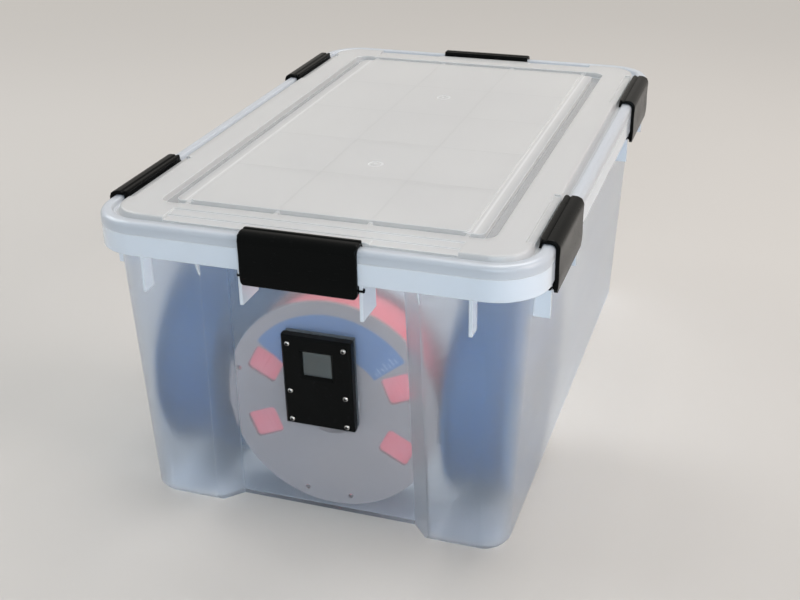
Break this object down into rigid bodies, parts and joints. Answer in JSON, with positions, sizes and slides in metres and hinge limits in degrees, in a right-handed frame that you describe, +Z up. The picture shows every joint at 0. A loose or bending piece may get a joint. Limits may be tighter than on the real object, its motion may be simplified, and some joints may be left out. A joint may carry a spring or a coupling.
{
  "type": "filament dryer box",
  "caption": "Translucent latching tote that keeps filament spools dry, with a lift-off lid, hinged edge latches, a seal, a hygrometer in the front wall and desiccant inside.",
  "frame": {"origin": "centre of the box's footprint, on the floor it stands on", "axes": "+Z up, the long side along Y, the front with the hygrometer facing -Y"},
  "size_m": [0.4014, 0.6054, 0.2853],
  "materials": {
    "clear_polypropylene": "milky translucent, satin outside",
    "white_translucent_polypropylene": "milky translucent, glossy",
    "foam_seal": "soft matt foam",
    "black_latch": "satin moulded",
    "black_housing": "matt printed",
    "clear_pane": "clear",
    "display": "grey liquid crystal",
    "circuit_board": "solder mask",
    "cell_steel": "bright",
    "black_rubber": "matt foam",
    "bright_steel": "bright",
    "reel_grey": "matt moulded",
    "reel_blue": "moulded, seen only as a blue shape through the tub",
    "label_blue": "printed paper",
    "red_filament": "glossy strand",
    "blue_filament": "glossy strand",
    "white_plastic": "moulded",
    "orange_beads": "glassy beads"
  },
  "bodies": {
    "tub_body": {"tub": "clear_polypropylene", "hygrometer_bezel": "black_housing", "hygrometer_pane": "clear_pane", "hygrometer_display": "display", "hygrometer_board": "circuit_board", "coin_cell": "cell_steel", "bezel_gasket": "black_rubber", "hygrometer_backplate": "black_housing", "bezel_screws": "bright_steel", "bezel_nuts": "bright_steel", "front_reel": "reel_grey", "front_filament": "red_filament", "front_label": "label_blue", "left_reel": "reel_blue", "left_filament": "blue_filament", "left_label": "label_blue", "right_reel": "reel_blue", "right_filament": "blue_filament", "right_label": "label_blue", "desiccant_canister": "white_plastic", "canister_cap": "white_plastic", "desiccant_beads": "orange_beads"},
    "lid_body": {"lid": "white_translucent_polypropylene", "lid_gasket": "foam_seal"},
    "latch_front_body": {"latch_front": "black_latch"},
    "latch_back_body": {"latch_back": "black_latch"},
    "latch_left_front_body": {"latch_left_front": "black_latch"},
    "latch_left_rear_body": {"latch_left_rear": "black_latch"},
    "latch_right_front_body": {"latch_right_front": "black_latch"},
    "latch_right_rear_body": {"latch_right_rear": "black_latch"}
  },
  "joints": [
    {"name": "lid_lift", "type": "slide", "parent": "tub_body", "child": "lid_body", "axis": [0, 0, 1], "range_m": [0, 0.25]},
    {"name": "latch_front_swing", "type": "hinge", "parent": "tub_body", "child": "latch_front_body", "pos_m": [0, -0.296, 0.246], "axis": [1, 0, 0], "range_deg": [0, 150]},
    {"name": "latch_back_swing", "type": "hinge", "parent": "tub_body", "child": "latch_back_body", "pos_m": [0, 0.296, 0.246], "axis": [-1, 0, 0], "range_deg": [0, 150]},
    {"name": "latch_left_front_swing", "type": "hinge", "parent": "tub_body", "child": "latch_left_front_body", "pos_m": [-0.194, -0.194, 0.246], "axis": [0, -1, 0], "range_deg": [0, 150]},
    {"name": "latch_left_rear_swing", "type": "hinge", "parent": "tub_body", "child": "latch_left_rear_body", "pos_m": [-0.194, 0.194, 0.246], "axis": [0, -1, 0], "range_deg": [0, 150]},
    {"name": "latch_right_front_swing", "type": "hinge", "parent": "tub_body", "child": "latch_right_front_body", "pos_m": [0.194, -0.194, 0.246], "axis": [0, 1, 0], "range_deg": [0, 150]},
    {"name": "latch_right_rear_swing", "type": "hinge", "parent": "tub_body", "child": "latch_right_rear_body", "pos_m": [0.194, 0.194, 0.246], "axis": [0, 1, 0], "range_deg": [0, 150]}
  ],
  "couplings": [
    {"joint": "latch_front_swing", "follows": "lid_lift", "rad_per_m": 10.47},
    {"joint": "latch_back_swing", "follows": "lid_lift", "rad_per_m": 10.47},
    {"joint": "latch_left_front_swing", "follows": "lid_lift", "rad_per_m": 10.47},
    {"joint": "latch_left_rear_swing", "follows": "lid_lift", "rad_per_m": 10.47},
    {"joint": "latch_right_front_swing", "follows": "lid_lift", "rad_per_m": 10.47},
    {"joint": "latch_right_rear_swing", "follows": "lid_lift", "rad_per_m": 10.47}
  ]
}
